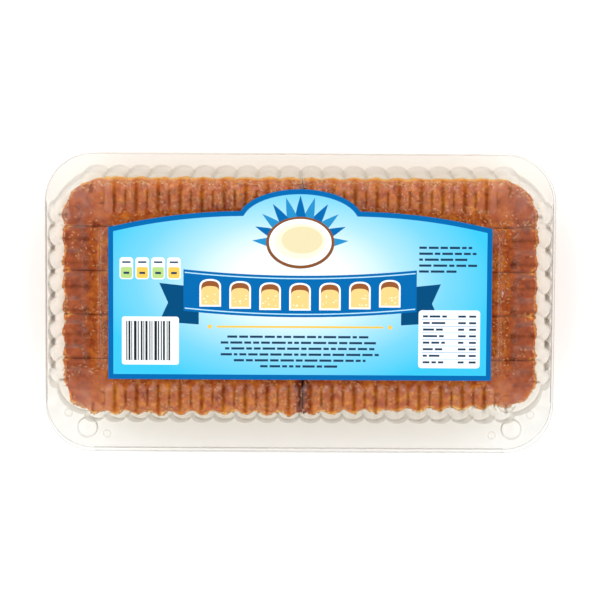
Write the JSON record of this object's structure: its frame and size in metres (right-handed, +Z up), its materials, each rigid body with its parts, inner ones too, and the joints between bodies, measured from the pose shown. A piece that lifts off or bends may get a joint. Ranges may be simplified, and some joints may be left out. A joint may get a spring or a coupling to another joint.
{
  "type": "packaged sliced cake",
  "caption": "Sliced sponge cake with a toasted coconut top in a shut clear fluted plastic pack, shallow tray and deep snap lid, with an arched blue paper label on the lid.",
  "frame": {"origin": "middle of the pack's footprint, on the surface it stands on", "axes": "+X along the pack's long side, +Y from the wide front lip to the back, +Z up through the label"},
  "size_m": [0.238, 0.14, 0.0521],
  "materials": {
    "tray_plastic": "clear thermoformed sheet",
    "lid_plastic": "clear thermoformed sheet",
    "label_paper": "smooth coated paper, printed",
    "cake": "baked brown crust over golden crumb"
  },
  "bodies": {
    "root": {"tray": "tray_plastic", "lid": "lid_plastic", "label": "label_paper", "slice_left_1": "cake", "slice_left_2": "cake", "slice_left_3": "cake", "slice_left_4": "cake", "slice_left_5": "cake", "slice_right_1": "cake", "slice_right_2": "cake", "slice_right_3": "cake", "slice_right_4": "cake", "slice_right_5": "cake"}
  },
  "joints": []
}
